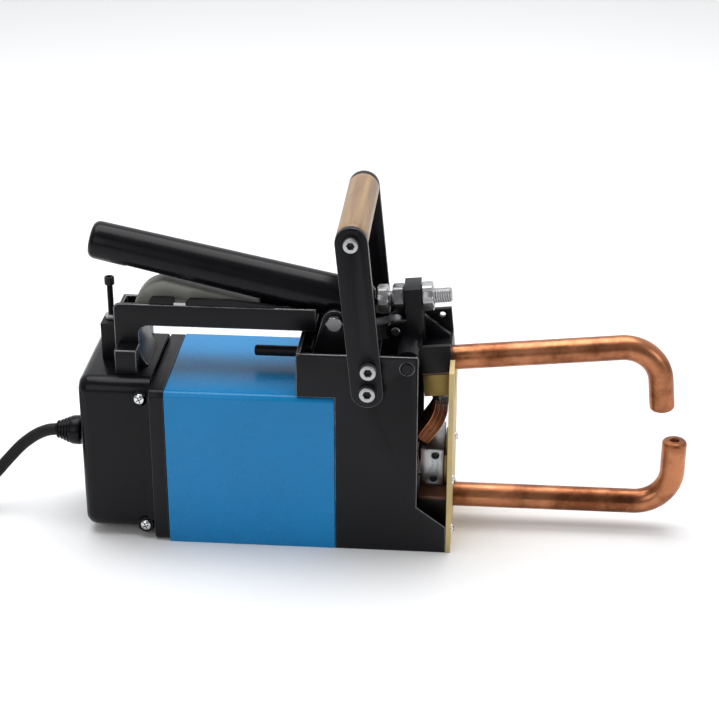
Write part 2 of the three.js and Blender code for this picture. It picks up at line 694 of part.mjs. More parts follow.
// Mains lead: gland, strain relief, the run down to the floor, the coil, its tail and the plug.
const COIL = { x: -290, y: 0, mean: 45, halfWidth: 12.5, low: FLOOR_CLEAR, high: 17 };
function mainsLead() {
  const glandFront = COVER_REAR - GAP;
  const gland = cut(
    join(barX(glandFront - 6, glandFront, 0, GLAND_Z, 11, 6), barX(glandFront - 7, glandFront + 3, 0,
      GLAND_Z, 6.5)),
    barX(glandFront - 9, glandFront + 5, 0, GLAND_Z, CORD_RADIUS + GAP, 12),
  );
  const reliefRear = -163;
  const relief = cut(
    new THREE.LatheGeometry([[0, 0], [6, 0], [7.4, 6], [9.6, 11], [9.8, 16.6], [0, 16.6]]
      .map(([r, x]) => new THREE.Vector2(r, x)), 16)
      .rotateZ(-Math.PI / 2).translate(reliefRear, 0, GLAND_Z),
    barX(reliefRear - CUT, glandFront, 0, GLAND_Z, CORD_RADIUS + GAP, 12),
  );
  const run = new THREE.CatmullRomCurve3(CORD_RUN.map((p) => new THREE.Vector3(...p)));
  const tail = new THREE.CatmullRomCurve3(CORD_TAIL.map((p) => new THREE.Vector3(...p)));
  const ringInner = COIL.mean - COIL.halfWidth;
  const ringOuter = COIL.mean + COIL.halfWidth;
  const ring = new THREE.LatheGeometry([
    [ringInner, COIL.low + 4], [ringInner + 4, COIL.low], [ringOuter - 4, COIL.low],
    [ringOuter, COIL.low + 4], [ringOuter, COIL.high - 4], [ringOuter - 4, COIL.high],
    [ringInner + 4, COIL.high], [ringInner, COIL.high - 4], [ringInner, COIL.low + 4],
  ].map(([r, z]) => new THREE.Vector2(r, z)), 32).rotateX(Math.PI / 2).translate(COIL.x, COIL.y, 0);
  welder.add(
    part('gland_body', gland, MOULDED),
    part('gland_cap', relief, MOULDED),
    part('cord_run', tube(run, CORD_RADIUS, 10, 24), RUBBER),
    part('cord_coil', ring, RUBBER),
    part('cord_tail', tube(tail, CORD_RADIUS, 10, 14), RUBBER),
    part('plug', plug(), RUBBER),
  );
}

// The run's points are the cord's middle from the gland down to the coil's outer turn.
const CORD_RUN = [
  [-163.4, 0, 55],
  [-170, 0, 53.8],
  [-178, -0.5, 50.2],
  [-187, -2, 43.6],
  [-195, -5, 35.6],
  [-203, -9, 27],
  [-211, -14.5, 18.6],
  [-220, -21.5, 11.4],
  [-230, -30.5, 6.7],
  [-241, -41, 4.8],
  [-253, -51, 4.5],
  [-267, -58.6, 4.5],
  [-281, -61.9, 4.5],
];
// The tail's points rise from the top of the coil to the back of the plug.
const CORD_TAIL = [
  [-326, -38.5, 21.5],
  [-331.5, -31, 21.9],
  [-335, -22, 23.8],
  [-336.7, -13, 26.7],
  [-337, -4.7, 29.3],
];

// A round mains plug lies on the coil with its nose raised.
function plug() {
  const body = new THREE.LatheGeometry([
    [0, 0], [7, 0], [8.5, 10], [14, 18], [19, 24], [19, 42], [17.5, 44], [0, 44],
  ].map(([r, y]) => new THREE.Vector2(r, y)), 20);
  const pin = (x) => new THREE.CylinderGeometry(2.4, 2.4, 20, 10).translate(x, 53, 0);
  const tilt = THREE.MathUtils.degToRad(15);
  return join(body, pin(-9.5), pin(9.5)).rotateX(tilt).translate(-337, -4, 29.6);
}

casing();
tower();
frontEnd();
electrics();
fixedHandle();
carryingHandle();
lever();
pushLink();
rocker();
slides();
mainsLead();

export default welder;
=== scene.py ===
"""Portable spot welder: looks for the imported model. Sizes are in millimetres until MM makes them metres."""
import json
from math import atan2, cos, pi, radians, sin

import bmesh
import bpy
from mathutils import Matrix, Vector

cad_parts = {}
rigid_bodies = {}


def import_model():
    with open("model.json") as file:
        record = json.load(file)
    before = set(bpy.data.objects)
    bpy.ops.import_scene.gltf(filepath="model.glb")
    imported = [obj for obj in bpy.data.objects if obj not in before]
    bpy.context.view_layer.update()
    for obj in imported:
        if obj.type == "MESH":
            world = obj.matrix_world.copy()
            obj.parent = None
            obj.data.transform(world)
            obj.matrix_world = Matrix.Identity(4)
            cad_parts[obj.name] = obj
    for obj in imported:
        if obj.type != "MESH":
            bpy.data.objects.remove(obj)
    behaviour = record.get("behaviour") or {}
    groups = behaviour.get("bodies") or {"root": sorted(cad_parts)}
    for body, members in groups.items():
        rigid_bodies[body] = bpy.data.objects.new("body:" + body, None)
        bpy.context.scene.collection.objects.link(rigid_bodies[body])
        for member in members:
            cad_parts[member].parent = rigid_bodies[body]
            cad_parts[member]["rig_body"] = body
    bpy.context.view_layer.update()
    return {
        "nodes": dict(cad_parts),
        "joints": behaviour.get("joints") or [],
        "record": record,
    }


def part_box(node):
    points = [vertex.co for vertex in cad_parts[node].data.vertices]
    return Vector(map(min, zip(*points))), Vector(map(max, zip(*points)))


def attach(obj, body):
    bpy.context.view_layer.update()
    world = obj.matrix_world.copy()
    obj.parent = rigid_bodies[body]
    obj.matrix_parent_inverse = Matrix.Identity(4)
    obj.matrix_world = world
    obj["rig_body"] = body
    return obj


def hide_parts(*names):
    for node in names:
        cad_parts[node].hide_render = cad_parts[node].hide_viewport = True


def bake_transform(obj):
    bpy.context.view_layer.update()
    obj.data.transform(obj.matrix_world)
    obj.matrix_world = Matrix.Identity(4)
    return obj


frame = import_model()
NODES = frame["nodes"]
JOINTS = {joint["name"]: joint for joint in frame["joints"]}
SLOT_OF = {row["node"]: row["material_slot"] for row in frame["record"]["subparts"]}

MM = 0.001
HOUSING = "housing"
HALF_WIDTH = 46
ARM_RADIUS = 8
BEND_RADIUS = 24
CORD_RADIUS = 4
GLAND_Z = 55
STUB_Z = 118
LOWER_ARM_Z = 18
BOLT_Z = 28.5  # adjusting bolt, in the rocker's frame
LEVER_REST = 12.4  # degrees, rear end raised
GRIP = Vector((36.9, 0, 214))
COVER_SCREW_X = -98
COVER_SCREW_HEIGHTS = (100.8, 9.4)


def pivot(name):
    return Vector(JOINTS[name]["pos_m"]) / MM


def turned_frame(joint, angle):
    """The matrix of a body's own frame: its origin at the joint, turned about Y to its rest angle."""
    return Matrix.Translation(pivot(joint)) @ Matrix.Rotation(angle, 4, "Y")


arm_axis = JOINTS["upper_arm_slide"]["axis"]
ROCKER = turned_frame("rocker_pivot", -atan2(arm_axis[2], arm_axis[0]))
LEVER = turned_frame("lever_pivot", radians(LEVER_REST))


# ---------------------------------------------------------------- camera, floor and light
def camera():
    aim = Vector((37.9, 0, 113.7)) * MM
    azimuth, elevation, distance = radians(4.67), radians(25.45), 1.212
    away = Vector((sin(azimuth) * cos(elevation), -cos(azimuth) * cos(elevation), sin(elevation)))
    data = bpy.data.cameras.new("camera")
    data.lens = 94.5
    data.clip_start = 0.05
    view = bpy.data.objects.new("camera", data)
    view.location = aim + away * distance
    view.rotation_euler = (-away).to_track_quat("-Z", "Y").to_euler()
    bpy.context.scene.collection.objects.link(view)
    bpy.context.scene.camera = view


def area_light(name, place, target, size, power):
    data = bpy.data.lights.new(name, "AREA")
    data.shape = "RECTANGLE"
    data.size, data.size_y = size
    data.energy = power
    light = bpy.data.objects.new(name, data)
    light.location = place
    light.rotation_euler = (Vector(target) - Vector(place)).to_track_quat("-Z", "Y").to_euler()
    bpy.context.scene.collection.objects.link(light)


def studio():
    centre = (0.03, 0, 0.1)
    area_light("overhead", (-0.1, 0.3, 1.5), centre, (1.6, 1.1), 23)
    area_light("front", (-0.7, -1.5, 0.9), centre, (1.0, 1.0), 5)
    area_light("side", (1.5, -0.5, 0.7), centre, (0.5, 0.8), 3)
    world = bpy.data.worlds.new("studio")
    world.use_nodes = True
    tree = world.node_tree
    background = tree.nodes["Background"]
    background.inputs["Color"].default_value = (0.97, 0.98, 1.0, 1)
    direction = tree.nodes.new("ShaderNodeTexCoord")
    split = tree.nodes.new("ShaderNodeSeparateXYZ")
    fade = tree.nodes.new("ShaderNodeMapRange")
    fade.inputs["From Min"].default_value = -0.6
    fade.inputs["From Max"].default_value = 0.8
    fade.inputs["To Min"].default_value = 0.22
    fade.inputs["To Max"].default_value = 0.95
    tree.links.new(direction.outputs["Generated"], split.inputs["Vector"])
    tree.links.new(split.outputs["Y"], fade.inputs["Value"])
    tree.links.new(fade.outputs["Result"], background.inputs["Strength"])
    bpy.context.scene.world = world
    bpy.context.scene.view_settings.view_transform = "Standard"
    bpy.ops.mesh.primitive_plane_add(size=12)
    floor = bpy.context.object
    floor.name = "floor"
    return floor


# ---------------------------------------------------------------- materials
class Finish:
    """A procedural material: base colour varied by noise, with roughness and bump of its own."""

    def __init__(self, name, roughness, metallic=0.0, coat=0.0, specular=0.5):
        self.material = bpy.data.materials.new(name)
        self.material.use_nodes = True
        self.tree = self.material.node_tree
        self.shader = self.tree.nodes["Principled BSDF"]
        self.shader.inputs["Metallic"].default_value = metallic
        self.shader.inputs["Coat Weight"].default_value = coat
        self.shader.inputs["Coat Roughness"].default_value = 0.08
        self.shader.inputs["Specular IOR Level"].default_value = specular
        self.roughness = roughness
        self.height = None

    def node(self, kind, **inputs):
        node = self.tree.nodes.new(kind)
        for key, value in inputs.items():
            node.inputs[key.replace("_", " ")].default_value = value
        return node

    def link(self, output, target):
        self.tree.links.new(output, target)

    def place(self, stretch=(1, 1, 1)):
        where = self.node("ShaderNodeTexCoord")
        mapping = self.node("ShaderNodeMapping")
        mapping.inputs["Scale"].default_value = stretch
        self.link(where.outputs["Object"], mapping.inputs["Vector"])
        return mapping.outputs["Vector"]

    def noise(self, scale, detail=4, stretch=(1, 1, 1), roughness=0.55):
        noise = self.node("ShaderNodeTexNoise", Scale=scale, Detail=detail, Roughness=roughness)
        self.link(self.place(stretch), noise.inputs["Vector"])
        return noise.outputs["Fac"]

    def ramp(self, factor, stops):
        ramp = self.node("ShaderNodeValToRGB")
        elements = ramp.color_ramp.elements
        while len(elements) < len(stops):
            elements.new(0.5)
        for element, (position, colour) in zip(elements, stops):
            element.position = position
            element.color = (*colour, 1)
        self.link(factor, ramp.inputs["Fac"])
        return ramp.outputs["Color"]

    def colour(self, factor, stops):
        self.link(self.ramp(factor, stops), self.shader.inputs["Base Color"])
        return self

    def vary_roughness(self, factor, spread):
        span = self.node("ShaderNodeMapRange", To_Min=self.roughness - spread, To_Max=self.roughness + spread)
        span.inputs["From Min"].default_value = 0.3
        span.inputs["From Max"].default_value = 0.7
        self.link(factor, span.inputs["Value"])
        self.link(span.outputs["Result"], self.shader.inputs["Roughness"])
        return self

    def bump(self, factor, strength, distance):
        bump = self.node("ShaderNodeBump", Strength=strength, Distance=distance)
        self.link(factor, bump.inputs["Height"])
        if self.height:
            self.link(self.height, bump.inputs["Normal"])
        self.height = bump.outputs["Normal"]
        self.link(self.height, self.shader.inputs["Normal"])
        return self


def shades(colour, low, high):
    """Two stops: the colour darkened and lightened."""
    return [(0.32, [c * low for c in colour]), (0.7, [min(c * high, 1) for c in colour])]


def plain_finish(name, colour, roughness, metallic=0.0, coat=0.0, blotch=14, contrast=(0.85, 1.15),
                 spread=0.06, grain=900, grain_strength=0.15, specular=0.5):
    finish = Finish(name, roughness, metallic, coat, specular)
    patches = finish.noise(blotch)
    finish.colour(patches, shades(colour, *contrast))
    finish.vary_roughness(finish.noise(blotch * 4, 6), spread)
    return finish.bump(finish.noise(grain, 2), grain_strength, 0.0002).material


def copper_finish(name, bright, dark):
    """Drawn copper: warm metal under brown tarnish patches, with a fine bumpy grain."""
    finish = Finish(name, 0.33, 1.0)
    tarnish = finish.noise(26, 8, roughness=0.65)
    finish.colour(tarnish, [(0.40, dark), (0.57, bright), (0.75, [min(1, c * 1.12) for c in bright])])
    finish.vary_roughness(finish.noise(60, 6), 0.12)
    finish.bump(finish.noise(160, 3), 0.25, 0.0003)
    return finish.bump(finish.noise(1400, 2), 0.12, 0.0001).material


def wood_finish():
    """Varnished pine with its grain along Y."""
    finish = Finish("pine", 0.36, coat=0.1)
    grain = finish.noise(210, 6, stretch=(1, 0.05, 1), roughness=0.6)
    finish.colour(grain, [(0.3, (0.16, 0.08, 0.032)), (0.5, (0.29, 0.17, 0.075)),
                          (0.72, (0.40, 0.26, 0.125))])
    finish.vary_roughness(grain, 0.07)
    return finish.bump(grain, 0.22, 0.0002).material


def machined_finish(name, colour, roughness, stretch):
    """Metal with tool lines across one axis."""
    finish = Finish(name, roughness, 1.0)
    lines = finish.noise(420, 4, stretch=stretch)
    finish.colour(lines, shades(colour, 0.78, 1.1))
    finish.vary_roughness(finish.noise(50, 5), 0.1)
    return finish.bump(lines, 0.2, 0.0002).material


def floor_finish():
    finish = Finish("pale_floor", 0.6)
    finish.colour(finish.noise(1.2, 2), [(0.3, (0.93, 0.93, 0.935)), (0.7, (0.95, 0.95, 0.95))])
    return finish.vary_roughness(finish.noise(3), 0.03).material


LOOK = {
    "blue_paint": plain_finish("blue_gloss", (0.001, 0.21, 0.50), 0.28, contrast=(0.94, 1.06),
                               grain=420, grain_strength=0.06, specular=0.3),
    "black_paint": plain_finish("black_powder_coat", (0.005, 0.005, 0.0065), 0.34, grain=1500,
                                grain_strength=0.22, specular=0.2),
    "black_moulding": plain_finish("black_gloss_moulding", (0.004, 0.004, 0.0055), 0.24, grain=1300,
                                   grain_strength=0.1, specular=0.17),
    "black_rubber": plain_finish("black_rubber", (0.011, 0.011, 0.012), 0.5, grain=1900,
                                 grain_strength=0.3, specular=0.2),
    "copper": copper_finish("copper", (0.47, 0.19, 0.092), (0.19, 0.065, 0.028)),
    "brass": plain_finish("dull_brass", (0.29, 0.2, 0.068), 0.42, 1.0, contrast=(0.72, 1.1), spread=0.12),
    "zinc": plain_finish("bright_zinc", (0.5, 0.5, 0.51), 0.38, 1.0, contrast=(0.82, 1.08), spread=0.09),
    "steel": plain_finish("plain_steel", (0.28, 0.28, 0.29), 0.38, 1.0, contrast=(0.6, 1.15), spread=0.12),
    "aluminium": machined_finish("machined_aluminium", (0.44, 0.45, 0.46), 0.38, (1, 1, 0.08)),
    "insulating_board": plain_finish("laminate_board", (0.58, 0.44, 0.19), 0.5, blotch=30,
                                     contrast=(0.8, 1.12), grain=1100, grain_strength=0.3),
    "bakelite": plain_finish("brown_laminate", (0.12, 0.045, 0.018), 0.4, blotch=40, contrast=(0.6, 1.3)),
    "wood": wood_finish(),
    "grey_moulding": plain_finish("grey_moulding", (0.33, 0.33, 0.30), 0.45, grain=800, grain_strength=0.2),
}
# Lighter, metallic grey for the rounded edges of black steel parts: a painted highlight along those edges.
EDGE_HIGHLIGHT = plain_finish("painted_edge_highlight", (0.17, 0.17, 0.175), 0.3, 0.75, contrast=(0.45, 1.5), blotch=45,
                        spread=0.1)
# Lighter, glossier black for the rounded edges of the black mouldings: a painted highlight along those edges.
MOULDING_EDGE_HIGHLIGHT = plain_finish("painted_moulding_edge_highlight", (0.02, 0.02, 0.022), 0.16, contrast=(0.8, 1.2))
TARNISHED = copper_finish("tarnished_copper", (0.34, 0.12, 0.05), (0.10, 0.032, 0.014))
CHROME = plain_finish("chrome", (0.78, 0.79, 0.8), 0.14, 1.0, contrast=(0.92, 1.05), spread=0.05)
# Near-black for screw slots and socket floors: painted shade in those recesses.
RECESS_SHADE = plain_finish("painted_recess_shade", (0.008, 0.008, 0.008), 0.7)


# ---------------------------------------------------------------- mesh tools
def show(bm, name, body, look, replaced=(), edge=None, smooth=32):
    """Turns a bmesh in millimetres into a finished piece; with no body named, it is tied to none, and the
    caller bakes its transform.
    """
    bmesh.ops.recalc_face_normals(bm, faces=bm.faces)
    mesh = bpy.data.meshes.new(name)
    bm.to_mesh(mesh)
    bm.free()
    mesh.transform(Matrix.Scale(MM, 4))
    piece = bpy.data.objects.new(name, mesh)
    bpy.context.scene.collection.objects.link(piece)
    mesh.materials.append(look)
    if edge:
        mesh.materials.append(edge)
    return settle(piece, body, replaced, smooth)


def settle(piece, body, replaced=(), smooth=32):
    """Shades the piece, hides the nodes it stands for, and ties it to its body, if it has just one."""
    piece.data.shade_smooth()
    piece.data.set_sharp_from_angle(angle=radians(smooth))
    if body:
        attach(piece, body)
    if replaced:
        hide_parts(*replaced)
    return piece


def applied(piece):
    """Applies every modifier of a piece to its mesh."""
    evaluated = piece.evaluated_get(bpy.context.evaluated_depsgraph_get())
    mesh = bpy.data.meshes.new_from_object(evaluated)
    piece.modifiers.clear()
    old = piece.data
    piece.data = mesh
    bpy.data.meshes.remove(old)
    return piece


def rounded(node, width=0.5, segments=2, look=None, edge=None):
    """A CAD node's shape with its flat faces whole again and its edges rounded to `width`."""
    source = NODES[node]
    bm = bmesh.new()
    bm.from_mesh(source.data)
    bmesh.ops.remove_doubles(bm, verts=bm.verts, dist=0.00001)
    bmesh.ops.dissolve_limit(bm, angle_limit=radians(1.5), verts=bm.verts, edges=bm.edges)
    mesh = bpy.data.meshes.new(node + "_shape")
    bm.to_mesh(mesh)
    bm.free()
    piece = bpy.data.objects.new(node + "_shape", mesh)
    bpy.context.scene.collection.objects.link(piece)
    mesh.materials.clear()
    mesh.materials.append(look or LOOK[SLOT_OF[node]])
    bevel = piece.modifiers.new("round", "BEVEL")
    bevel.width = width * MM
    bevel.segments = segments
    bevel.limit_method = "ANGLE"
    bevel.angle_limit = radians(38)
    if edge:
        mesh.materials.append(edge)
        bevel.material = 1
    applied(piece)
    return settle(piece, source["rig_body"], [node])


def flat(radius):
    return lambda angle: radius


def hexagon(across_corners, limit=1e9):
    """The radius of a hexagon at an angle, no more than a chamfer's circle."""
    def radius(angle):
        side = (angle % (pi / 3)) - pi / 6
        return min(across_corners * cos(pi / 6) / cos(side), limit)
    return radius


def thread(radius, depth, pitch, height):
    """The radius of a screw thread at one height of its axis."""
    def at(angle):
        phase = (height / pitch - angle / (2 * pi)) % 1
        return radius - depth * abs(2 * phase - 1)
    return at


def turned(bm, rings, matrix, sides=72, material=0):
    """A closed solid of revolution along local Z: rings are (height, radius function) from end to end."""
    loops = []
    for height, radius in rings:
        angles = [2 * pi * i / sides for i in range(sides)]
        points = [(radius(a) * cos(a), radius(a) * sin(a), height) for a in angles]
        loops.append([bm.verts.new(matrix @ Vector(p)) for p in points])
    faces = [bm.faces.new(loops[0][::-1]), bm.faces.new(loops[-1])]
    for low, high in zip(loops, loops[1:]):
        for i in range(sides):
            j = (i + 1) % sides
            faces.append(bm.faces.new((low[i], low[j], high[j], high[i])))
    for face in faces:
        face.material_index = material
    return bm


def along(axis, at):
    """A matrix that stands local Z on a direction, with its origin at a point."""
    turn = Vector(axis).normalized().to_track_quat("Z", "Y").to_matrix().to_4x4()
    return Matrix.Translation(Vector(at)) @ turn


def rings_of(profile):
    return [(height, flat(radius)) for height, radius in profile]


def turned_piece(name, profile, matrix, body, slot, replaced=(), look=None, sides=72):
    bm = turned(bmesh.new(), rings_of(profile), matrix, sides)
    return show(bm, name, body, look or LOOK[slot], replaced)


def block(bm, low, high, matrix=Matrix(), material=0):
    """A box between two corners."""
    size = [high[i] - low[i] for i in range(3)]
    middle = [(high[i] + low[i]) / 2 for i in range(3)]
    placed = matrix @ Matrix.Translation(middle) @ Matrix.Diagonal((*size, 1))
    made = bmesh.ops.create_cube(bm, size=1, matrix=placed)
    for face in {f for v in made["verts"] for f in v.link_faces}:
        face.material_index = material
    return made


def sweep(bm, path, radii, sides=48, material=0):
    """A round bar through points, with one radius for each; frames are carried along the path."""
    normal = None
    loops = []
    for i, point in enumerate(path):
        tangent = (path[min(i + 1, len(path) - 1)] - path[max(i - 1, 0)]).normalized()
        if normal is None:
            normal = tangent.orthogonal().normalized()
        normal = (normal - tangent * normal.dot(tangent)).normalized()
        side = tangent.cross(normal)
        angles = [2 * pi * k / sides for k in range(sides)]
        loops.append([bm.verts.new(point + radii[i] * (cos(a) * normal + sin(a) * side)) for a in angles])
    faces = [bm.faces.new(loops[0][::-1]), bm.faces.new(loops[-1])]
    for low, high in zip(loops, loops[1:]):
        for k in range(sides):
            j = (k + 1) % sides
            faces.append(bm.faces.new((low[k], low[j], high[j], high[k])))
    for face in faces:
        face.material_index = material
    return bm


def smooth_path(points, steps=8):
    """A Catmull-Rom curve through points."""
    points = [Vector(p) for p in points]
    padded = [2 * points[0] - points[1], *points, 2 * points[-1] - points[-2]]
    route = []
    for a, b, c, d in zip(padded, padded[1:], padded[2:], padded[3:]):
        for k in range(steps):
            t = k / steps
            route.append(0.5 * (2 * b + (c - a) * t + (2 * a - 5 * b + 4 * c - d) * t * t
                                + (3 * b - a - 3 * c + d) * t ** 3))
    return [*route, points[-1]]


# ---------------------------------------------------------------- mains lead
CORD_RUN = [
    (-163.4, 0, 55), (-170, 0, 53.8), (-178, -0.5, 50.2), (-187, -2, 43.6), (-195, -5, 35.6),
    (-203, -9, 27), (-211, -14.5, 18.6), (-220, -21.5, 11.4), (-230, -30.5, 6.7), (-241, -41, 4.8),
    (-253, -51, 4.5), (-267, -58.6, 4.5), (-281, -61.9, 4.5),
]
CORD_TAIL = [
    (-326, -38.5, 21.5), (-331.5, -31, 21.9), (-335, -22, 23.8), (-336.7, -13, 26.7), (-337, -4.7, 29.3),
]
COIL_CENTRE = Vector((-290, 0, 0))
COIL_RADII = [53, 45, 37, 37, 45, 53]
LAYER_LOW, LAYER_HIGH = 4.5, 12.6


def ease(value):
    value = min(max(value, 0), 1)
    return value * value * (3 - 2 * value)


def coil_points():
    """The turns run clockwise seen from above; each shifts one cord's width just after the joint at -Y."""
    joint, window, per_turn = -90, 80, 60
    top = LAYER_HIGH + 2 * CORD_RADIUS
    start, turns = 8, len(COIL_RADII)
    last = 360 * turns + 36
    steps = int(turns * per_turn)
    points = []
    for k in range(steps + 1):
        swept = start + (last - start) * k / steps
        turn = min(int(swept // 360), turns)
        into = swept - 360 * turn
        before = COIL_RADII[turn - 1] if turn else 61
        after = COIL_RADII[min(turn, turns - 1)]
        radius = before + (after - before) * ease(into / window)
        layer = ease((swept - (3 * 360 - window)) / window)
        leave = ease((swept - (turns * 360 - 35)) / 62)
        height = LAYER_LOW + (LAYER_HIGH - LAYER_LOW) * layer + (top - LAYER_HIGH) * leave
        angle = radians(joint - swept)
        points.append(COIL_CENTRE + Vector((radius * cos(angle), radius * sin(angle), height)))
    return points


def mains_lead():
    route = smooth_path(CORD_RUN)[:-1] + coil_points() + smooth_path(CORD_TAIL)
    data = bpy.data.curves.new("mains_cord", "CURVE")
    data.dimensions = "3D"
    data.bevel_depth = CORD_RADIUS * MM
    data.bevel_resolution = 6
    data.use_fill_caps = True
    spline = data.splines.new("POLY")
    spline.points.add(len(route) - 1)
    for point, place in zip(spline.points, route):
        point.co = (*(place * MM), 1)
    spline.use_smooth = True
    data.materials.append(LOOK["black_rubber"])
    cord = bpy.data.objects.new("mains_cord", data)
    bpy.context.scene.collection.objects.link(cord)
    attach(cord, HOUSING)
    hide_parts("cord_run", "cord_coil", "cord_tail")
    mains_plug()


def mains_plug():
    """A moulded round plug with finger grooves and two brass pins."""
    tilt = Matrix.Translation((-337, -4, 29.6)) @ Matrix.Rotation(radians(15), 4, "X")
    forward = tilt @ Matrix.Rotation(-pi / 2, 4, "X")
    body = [(0, 6.4), (0.8, 7)]
    for k in range(4):
        low = 1.5 + 2.4 * k
        swell = 0.3 * k
        body += [(low, 7.2 + swell), (low + 0.3, 6.3 + swell), (low + 1.1, 6.3 + swell),
                 (low + 1.4, 7.3 + swell)]
    body += [(13, 9.8), (17, 13.4), (21, 16.6), (24, 18.5), (26, 19), (41.2, 19), (43, 18.4), (43.9, 17.2)]
    bm = turned(bmesh.new(), rings_of(body), forward)
    for x in (-9.5, 9.5):
        pin = [(43, 2.4), (61, 2.4), (62.4, 1.9), (63, 1.1)]
        turned(bm, rings_of(pin), forward @ Matrix.Translation((x, 0, 0)), 32, 1)
    return show(bm, "mains_plug", HOUSING, LOOK["black_rubber"], ["plug"], LOOK["brass"])


def cable_gland():
    """A hexagon body and a ribbed, tapering strain relief."""
    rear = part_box("gland_body")[0].x / MM
    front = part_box("gland_body")[1].x / MM
    bm = bmesh.new()
    matrix = along((1, 0, 0), (0, 0, GLAND_Z))
    hexed = hexagon(11, 10.6)
    turned(bm, [(rear, flat(6.4)), (front - 9, flat(6.5)), (front - 8.9, flat(9.6)), (front - 8.2, hexed),
                (front - 4, hexed), (front - 3.3, flat(9.8)), (front - 3.2, flat(6.5)),
                (front, flat(6.5))], matrix)
    show(bm, "gland_nut", HOUSING, LOOK["black_moulding"], ["gland_body"], smooth=28)
    low, high = (c.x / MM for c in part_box("gland_cap"))
    profile = [(low, 4.35), (low + 0.2, 5.6), (low + 0.8, 6)]
    ribs = 4
    for k in range(ribs):
        at = low + 1.4 + 2.1 * k
        swell = 6.1 + 0.85 * k
        profile += [(at, swell), (at + 0.3, swell - 0.8), (at + 1.0, swell - 0.8), (at + 1.3, swell + 0.3)]
    profile += [(low + 11, 9.6), (high - 1, 9.8), (high - 0.2, 9.4), (high, 8.6)]
    turned_piece("strain_relief", profile, matrix, HOUSING, "black_moulding", ["gland_cap"])


# ---------------------------------------------------------------- casing
def dome_screw(bm, at, axis, radius, height):
    """A low domed screw head with a near-black cross on it: painted shade standing in for a sunk cross slot."""
    matrix = along(axis, at)
    dome = [(height * sin(a), flat(radius * cos(a))) for a in [radians(d) for d in range(0, 81, 10)]]
    turned(bm, [(-0.5, flat(radius)), *dome, (height, flat(radius * 0.08))], matrix, 40)
    for turn in (0, pi / 2):
        arm = matrix @ Matrix.Rotation(turn + 0.4, 4, "Z")
        # the slot is a near-black cross laid into the dome, painted shade in place of a cut
        block(bm, (-radius * 0.55, -0.28, height * 0.86), (radius * 0.55, 0.28, height + 0.06), arm, 1)


def screws(name, places, axis, radius, height):
    bm = bmesh.new()
    for at in places:
        dome_screw(bm, at, axis, radius, height)
    return show(bm, name, HOUSING, CHROME, edge=RECESS_SHADE)


def casing():
    rounded("bottom_plate", 0.4)
    rounded("blue_cover", 0.5, 3)
    # the rounded edges of the rear frame and cover take the lighter black, a painted highlight
    rounded("rear_frame", 1.1, 3, edge=MOULDING_EDGE_HIGHLIGHT)
    rounded("rear_cover", 1.6, 4, edge=MOULDING_EDGE_HIGHLIGHT)
    rear_flange()
    for side, name in ((-1, "cover_screws"), (1, "cover_screws_far")):
        screws(name, [(COVER_SCREW_X, side * 42.4, z) for z in COVER_SCREW_HEIGHTS], (0, side, 0), 3.6, 1.8)


def rear_flange():
    """The raised rib round the rear cover's mouth, with a boss at each of its screws."""
    bm = bmesh.new()
    low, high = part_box("rear_cover")
    bottom, top, side = low.z / MM, high.z / MM, high.y / MM
    front = high.x / MM
    for sign in (-1, 1):
        block(bm, (front - 4.5, min(sign * side, sign * (side + 1.4)), bottom + 9),
              (front - 0.4, max(sign * side, sign * (side + 1.4)), top - 9))
        for z in COVER_SCREW_HEIGHTS:
            boss = along((0, sign, 0), (COVER_SCREW_X, sign * side, z))
            turned(bm, rings_of([(-0.5, 5.6), (1.0, 5.4), (1.4, 4.9)]), boss, 48)
    show(bm, "rear_cover_ribs", HOUSING, LOOK["black_moulding"])


# ---------------------------------------------------------------- tower and carrying handle
def socket_screw(bm, at, axis, head=5.0, height=5.0):
    """A cap screw's head with a chamfer, a knurled side and a hexagon socket."""
    def knurl(angle):
        return head * (1 - 0.012 * (1 + cos(36 * angle)))
    socket = head * 0.54
    turned(bm, [(0, flat(head * 0.97)), (0.3, knurl), (height - 0.7, knurl), (height - 0.25, flat(head * 0.97)),
                (height, flat(head * 0.88)), (height, hexagon(socket * 1.12)), (height - 0.3, hexagon(socket)),
                (height * 0.45, hexagon(socket)), (height * 0.4, flat(0.3))], along(axis, at), 144)
    # a near-black hexagon at the socket's floor: painted shade in the recess
    turned(bm, [(height * 0.42, hexagon(socket * 0.97)), (height * 0.5, hexagon(socket * 0.97))],
           along(axis, at), 72, 1)


def cap_screws():
    reach = HALF_WIDTH + 5.1
    for side, word in ((-1, "near"), (1, "far")):
        for k in (1, 2):
            node = f"arm_screw_{word}_{k}"
            low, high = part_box(node)
            middle = (low + high) / (2 * MM)
            bm = bmesh.new()
            socket_screw(bm, (middle.x, side * reach, middle.z), (0, side, 0))
            shank = [(0, 3), (reach - HALF_WIDTH + 4.5, 3)]
            turned(bm, rings_of(shank), along((0, -side, 0), (middle.x, side * reach, middle.z)), 40)
            show(bm, f"cap_screw_{word}_{k}", HOUSING, LOOK["zinc"], [node], RECESS_SHADE)
        bm = bmesh.new()
        socket_screw(bm, (GRIP.x, side * reach, GRIP.z), (0, side, 0), 4.6, 4.4)
        show(bm, f"grip_screw_{word}", HOUSING, LOOK["zinc"], edge=RECESS_SHADE)


def wooden_grip():
    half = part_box("wood_grip")[1].y / MM
    profile = [(-half, 8.9), (-half + 0.4, 9.6), (-half + 1.4, 10)]
    profile += [(half * k / 6, 10 - 0.12 * (1 - abs(k) / 6)) for k in range(-5, 6)]
    profile += [(half - 1.4, 10), (half - 0.4, 9.6), (half, 8.9)]
    turned_piece("pine_grip", profile, along((0, 1, 0), GRIP), HOUSING, "wood", ["wood_grip"])


